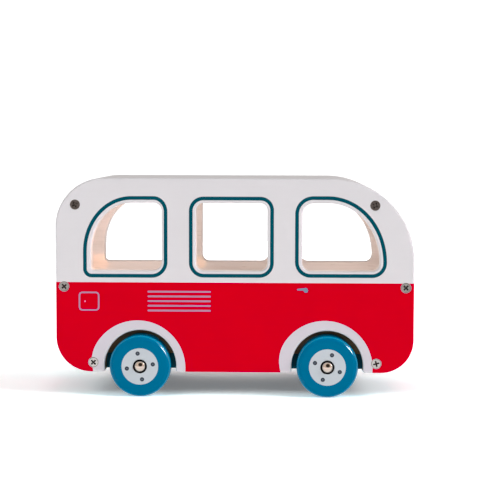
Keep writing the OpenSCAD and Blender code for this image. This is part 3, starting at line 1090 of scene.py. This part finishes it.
# Axles and washers keep their CAD shape.
for n in ("front_axle", "rear_axle", "washer_front_right", "washer_front_left",
          "washer_rear_right", "washer_rear_left"):
    o = frame["nodes"][n]
    o.data.materials.clear()
    o.data.materials.append(STEEL)

# ---------------------------------------------------------------------------
# Floor, light and camera
# ---------------------------------------------------------------------------


# The floor glows as painted light: weakest under the bus, so the shadow there is a painted shadow shaped by the
# glow.
FLOOR_GLOW = (0.165, 0.45, 0.2)   # under the bus, close by, added far away


def floor():
    b = Build()
    n, r = 96, 1500.0
    up = (0, 0, 1)
    ring = [((r * math.cos(2 * math.pi * i / n), r * math.sin(2 * math.pi * i / n), 0.0), up)
            for i in range(n)]
    for i in range(n):
        b.face([((0, 0, 0), up), ring[i], ring[(i + 1) % n]], 0)
    m = Nodes("pale_floor")
    tone = m.noise(m.mapped((1, 1, 1)), 3.0, 2.0)
    m.link(m.ramp(tone, [(0.2, (0.955, 0.955, 0.955)), (0.8, (0.97, 0.97, 0.97))]),
           m.bsdf.inputs["Base Color"])
    m.set(Roughness=0.9, Specular_IOR_Level=0.1, Emission_Color=(1.0, 0.98, 0.97, 1))
    def vec(op, a, const=None):
        v = m.t.nodes.new("ShaderNodeVectorMath")
        v.operation = op
        m.link(a, v.inputs[0])
        if const is not None:
            v.inputs[1].default_value = const
        return v.outputs["Value" if op == "LENGTH" else "Vector"]

    mid = vec("ABSOLUTE", vec("SUBTRACT", m.coord, (0.0, 0.016, 0.0)))
    off = vec("MAXIMUM", vec("SUBTRACT", mid, (0.085, 0.034, 0.0)), (0, 0, 0))
    away = vec("LENGTH", vec("MULTIPLY", off, (1.0, 1.75, 0.0)))
    near = m.span(away, FLOOR_GLOW[0], FLOOR_GLOW[1], 0.0, 0.06)
    rest = m.span(away, 0.0, FLOOR_GLOW[2], 0.12, 0.5)
    m.link(m.add(near, rest), m.bsdf.inputs["Emission Strength"])
    # The glow is warm under the bus, to keep the painted shadow neutral, and cyan just beside it, to cancel the
    # red light bounced off the panels.
    m.link(m.ramp(away, [(0.0, (1.0, 0.93, 0.90)), (0.012, (1.0, 0.98, 0.96)), (0.035, (0.82, 1.0, 1.0)),
                         (0.12, (1.0, 1.0, 1.0))]), m.bsdf.inputs["Emission Color"])
    ob = b.object("studio_floor", [m.mat])


floor()

# lights begin
def toward(azimuth, elevation):
    """Direction to a light; azimuth is degrees to the right of the camera's side."""
    a, e = math.radians(azimuth), math.radians(elevation)
    return Vector((math.sin(a) * math.cos(e), -math.cos(a) * math.cos(e), math.sin(e)))


def studio_world():
    """White seen straight, a fill from behind as light, pale and warm in reflections but for
    a dark patch above the camera."""
    world = bpy.data.worlds.new("studio")
    bpy.context.scene.world = world
    world.use_nodes = True
    t = world.node_tree
    t.nodes.clear()
    out = t.nodes.new("ShaderNodeOutputWorld")
    path = t.nodes.new("ShaderNodeLightPath")
    coord = t.nodes.new("ShaderNodeTexCoord")
    sep = t.nodes.new("ShaderNodeSeparateXYZ")
    t.links.new(coord.outputs["Generated"], sep.inputs[0])

    def ramp(value, stops):
        r = t.nodes.new("ShaderNodeValToRGB")
        e = r.color_ramp.elements
        while len(e) < len(stops):
            e.new(0.5)
        for x, (pos, v) in zip(e, stops):
            x.position = pos
            x.color = (v[0], v[1], v[2], 1.0)
        t.links.new(value, r.inputs[0])
        return r.outputs[0]

    def background(colour, strength):
        b = t.nodes.new("ShaderNodeBackground")
        if colour is None:
            b.inputs[0].default_value = (1, 1, 1, 1)
        else:
            t.links.new(colour, b.inputs[0])
        b.inputs[1].default_value = strength
        return b.outputs[0]

    def mix(fac, a, b):
        m = t.nodes.new("ShaderNodeMixShader")
        t.links.new(fac, m.inputs[0])
        t.links.new(a, m.inputs[1])
        t.links.new(b, m.inputs[2])
        return m.outputs[0]

    dome = background(ramp(sep.outputs["Y"], [(0.0, (0.09, 0.09, 0.09)), (0.6, (0.45, 0.45, 0.45))]), SKY)
    dot = t.nodes.new("ShaderNodeVectorMath")
    dot.operation = "DOT_PRODUCT"
    dot.inputs[1].default_value = toward(12, 36)
    t.links.new(coord.outputs["Generated"], dot.inputs[0])
    gloss = background(ramp(dot.outputs["Value"], [(0.0, (0.82, 0.74, 0.68)), (0.76, (0.80, 0.72, 0.66)),
                                                   (0.82, (0.07, 0.055, 0.046)), (1.0, (0.03, 0.025, 0.02))]), 1.0)
    front = ramp(sep.outputs["Y"], [(0.0, (GLOSS[0],) * 3), (0.3, (GLOSS[1],) * 3)])
    t.links.new(front, gloss.node.inputs[1])
    seen = background(None, 1.0)
    both = mix(path.outputs["Is Glossy Ray"], dome, gloss)
    t.links.new(mix(path.outputs["Is Camera Ray"], both, seen), out.inputs[0])


def area_light(name, azimuth, elevation, distance, size, power, col=(1, 1, 1), glossy=True):
    """Square soft box aimed at the bus."""
    d = toward(azimuth, elevation)
    li = bpy.data.lights.new(name, "AREA")
    li.shape, li.size, li.energy, li.color = "SQUARE", size, power, col
    ob = bpy.data.objects.new(name, li)
    ob.location = Vector((0, 0, 0.08)) + d * distance
    ob.rotation_mode = "QUATERNION"
    ob.rotation_quaternion = d.to_track_quat("Z", "Y")
    ob.visible_camera, ob.visible_glossy = False, glossy
    bpy.context.scene.collection.objects.link(ob)
    return ob


def sun(name, azimuth, elevation, angle, strength, col=(1, 1, 1), glossy=True):
    """Far soft light of one even strength over the whole bus."""
    li = bpy.data.lights.new(name, "SUN")
    li.angle, li.energy, li.color = math.radians(angle), strength, col
    ob = bpy.data.objects.new(name, li)
    ob.location = toward(azimuth, elevation) * 2.0
    ob.rotation_mode = "QUATERNION"
    ob.rotation_quaternion = toward(azimuth, elevation).to_track_quat("Z", "Y")
    ob.visible_glossy = glossy
    bpy.context.scene.collection.objects.link(ob)
    return ob


def cabin_fill(side, x, z, power):
    """Soft light inside the cabin, as from a reflector behind the windows."""
    li = bpy.data.lights.new("cabin_fill", "AREA")
    li.shape, li.size, li.size_y, li.energy = "RECTANGLE", 0.062, 0.07, power
    ob = bpy.data.objects.new("cabin_fill", li)
    ob.location = (x, -side * 0.02, z)
    ob.rotation_mode = "QUATERNION"
    ob.rotation_quaternion = Vector((0, -side, 0)).to_track_quat("Z", "Y")
    ob.visible_camera = ob.visible_glossy = False
    bpy.context.scene.collection.objects.link(ob)


def corner_glow(side, x, z, cone, power):
    """Small warm spot, as of a low lamp shining through a window onto the far sill."""
    li = bpy.data.lights.new("corner_glow", "SPOT")
    li.energy, li.color = power, (1.0, 0.62, 0.25)
    li.spot_size, li.spot_blend, li.shadow_soft_size = math.radians(cone), 0.45, 0.001
    ob = bpy.data.objects.new("corner_glow", li)
    ob.location = (x + 0.018, side * 0.004, z + 0.010)
    ob.rotation_mode = "QUATERNION"
    aim = Vector((x, side * 0.034, z)) - ob.location
    ob.rotation_quaternion = (-aim).to_track_quat("Z", "Y")
    ob.visible_camera = ob.visible_glossy = False
    bpy.context.scene.collection.objects.link(ob)


SKY, GLOSS, GLOW = 1.0, (1.15, 0.65), 0.015
KEY, GLINT, RIGHT, LEFT, TOP, TREAD = 1.59, 9.0, 0.58, 0.985, 0.75, 1.2
CABIN = ((-0.086, 0.102, 0.0136), (-0.018, 0.112, 0.0042), (0.073, 0.088, 0.0108))
studio_world()
# the set begins
sun("key", 69, 29.5, 24, KEY, glossy=False)
glint = sun("key_glint", 67, 28.5, 20, GLINT)
glint.visible_diffuse = False
rims = bpy.data.collections.new("wheels_lit")
for ob in bpy.data.objects:
    if ob.name.startswith("turned_wheel"):
        rims.objects.link(ob)
glint.light_linking.receiver_collection = rims
tread = sun("tread_top", 0, 86, 12, TREAD, glossy=False)
tread.light_linking.receiver_collection = rims
tread.light_linking.blocker_collection = rims
sun("right_fill", 90, 35, 30, RIGHT, glossy=False)
sun("left_fill", -45, 35, 30, LEFT, glossy=False)
sun("low_key", 31, 23, 6, 0.14, (1.0, 0.95, 0.80), False)
area_light("top_box", 0, 84, 2.2, 1.8, TOP, glossy=False)
for s in (1, -1):
    for x, z, p in CABIN:
        cabin_fill(s, x, z, p)
    corner_glow(s, -0.1050, 0.0868, 25, GLOW)
    corner_glow(s, -0.0290, 0.0872, 18, GLOW)
# the set ends
# lights end

cam = bpy.data.cameras.new("camera")
cam.lens, cam.sensor_width = 100.8, 36.0
cam.clip_start, cam.clip_end = 0.05, 50.0
cam_ob = bpy.data.objects.new("camera", cam)
cam_ob.location = (0.0294, -1.01636, 0.17703)
cam_ob.rotation_mode = "QUATERNION"
turn = (Matrix.Rotation(math.radians(1.109), 3, "Z") @ Matrix.Rotation(math.radians(90 - 4.339), 3, "X")
        @ Matrix.Rotation(math.radians(0.162), 3, "Z"))
cam_ob.rotation_quaternion = turn.to_quaternion()
bpy.context.scene.collection.objects.link(cam_ob)
bpy.context.scene.camera = cam_ob

view = bpy.context.scene.view_settings
view.view_transform = "Standard"
view.look = "None"


def finish_colour():
    """White point and a little saturation, as on a catalogue picture."""
    sc = bpy.context.scene
    sc.use_nodes = True
    t = sc.node_tree
    t.nodes.clear()
    layers = t.nodes.new("CompositorNodeRLayers")
    curve = t.nodes.new("CompositorNodeCurveRGB")
    c = curve.mapping.curves[3]
    c.points[0].location = (0.0, 0.0)
    c.points[1].location = (0.90, 1.0)
    c.points.new(0.60, 0.60)
    c.points.new(0.73, 0.735)
    for pt in c.points:
        pt.handle_type = "VECTOR"
    curve.mapping.update()
    sat = t.nodes.new("CompositorNodeHueSat")
    sat.inputs["Saturation"].default_value = 1.08
    out = t.nodes.new("CompositorNodeComposite")
    t.links.new(layers.outputs["Image"], curve.inputs["Image"])
    t.links.new(curve.outputs["Image"], sat.inputs["Image"])
    t.links.new(sat.outputs["Image"], out.inputs["Image"])


finish_colour()
